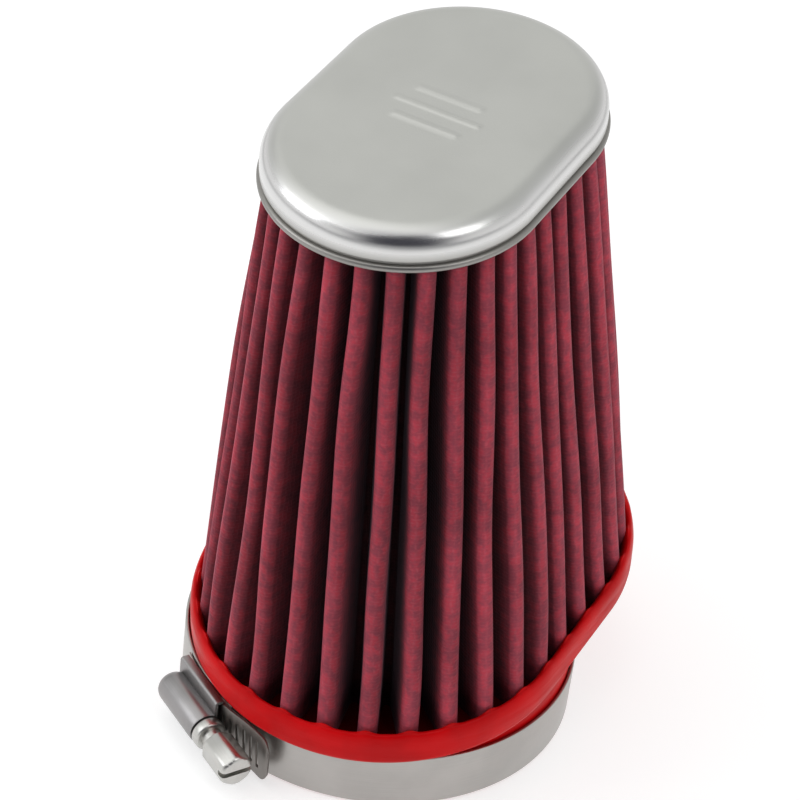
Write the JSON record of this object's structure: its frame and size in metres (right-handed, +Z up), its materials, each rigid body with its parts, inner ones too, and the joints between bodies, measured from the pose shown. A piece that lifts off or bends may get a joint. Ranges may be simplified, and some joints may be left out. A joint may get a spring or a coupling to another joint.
{
  "type": "air filter",
  "caption": "Clamp-on tapered oval pod air filter: pleated red media, satin metal end cap, moulded base with offset neck and worm-drive clamp.",
  "frame": {"origin": "centre of the mouth of the neck, on its end face", "axes": "+Z up the neck's axis, into the filter; X along the long direction of the oval, -X towards the side the body leans to"},
  "size_m": [0.1122, 0.0828, 0.1464],
  "materials": {
    "cap_aluminium": "satin, lightly brushed, rounded edge polished",
    "potting": "matte",
    "wire_cloth": "fine wire weave with a thin coating",
    "cotton": "oiled cotton gauze",
    "red_polyurethane": "semi-gloss moulded",
    "stainless_strip": "satin rolled",
    "screw_steel": "bright plated"
  },
  "bodies": {
    "filter": {"end_cap": "cap_aluminium", "cap_potting": "potting", "outer_wire_cloth": "wire_cloth", "cotton_media": "cotton", "inner_wire_cloth": "wire_cloth", "base_flange": "red_polyurethane"},
    "clamp": {"clamp_band": "stainless_strip", "clamp_saddle": "stainless_strip", "clamp_housing": "stainless_strip"},
    "worm": {"worm_screw": "screw_steel"},
    "tail": {"clamp_tail": "stainless_strip"}
  },
  "joints": [
    {"name": "clamp_turn", "type": "hinge", "parent": "filter", "child": "clamp", "pos_m": [0, 0, 0.0064], "axis": [0, 0, 1], "continuous": true},
    {"name": "worm_turn", "type": "hinge", "parent": "clamp", "child": "worm", "pos_m": [-0.03933, 0.02207, 0.0064], "axis": [0.4894, 0.8721, 0], "range_deg": [-720, 720]},
    {"name": "tail_travel", "type": "hinge", "parent": "clamp", "child": "tail", "pos_m": [0, 0, 0.0064], "axis": [0, 0, 1], "range_deg": [-5.5, 5.5]}
  ],
  "couplings": [
    {"joint": "tail_travel", "follows": "worm_turn", "ratio": 0.007588}
  ]
}
